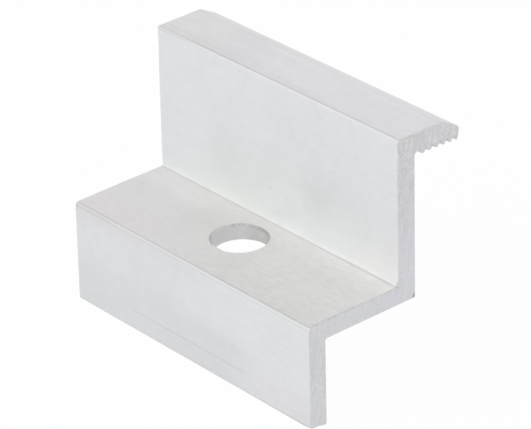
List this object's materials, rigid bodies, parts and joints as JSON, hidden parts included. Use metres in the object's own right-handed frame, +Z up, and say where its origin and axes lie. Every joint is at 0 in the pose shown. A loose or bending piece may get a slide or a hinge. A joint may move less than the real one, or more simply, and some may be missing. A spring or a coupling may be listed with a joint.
{
  "type": "solar end clamp",
  "caption": "Extruded aluminium end clamp with a stepped section, a serrated lip that grips a module frame, a clearance hole for the clamping bolt and a leg that stands on the rail.",
  "frame": {"origin": "centre of the bolt hole's mouth on top of the step", "axes": "+Z up along the bolt, +X along the extrusion, +Y from the leg towards the module"},
  "size_m": [0.05, 0.0276, 0.0384],
  "materials": {
    "mill_aluminium": "mill finish extrusion with sawn ends, satin"
  },
  "bodies": {
    "root": {"end_clamp": "mill_aluminium"}
  },
  "joints": []
}
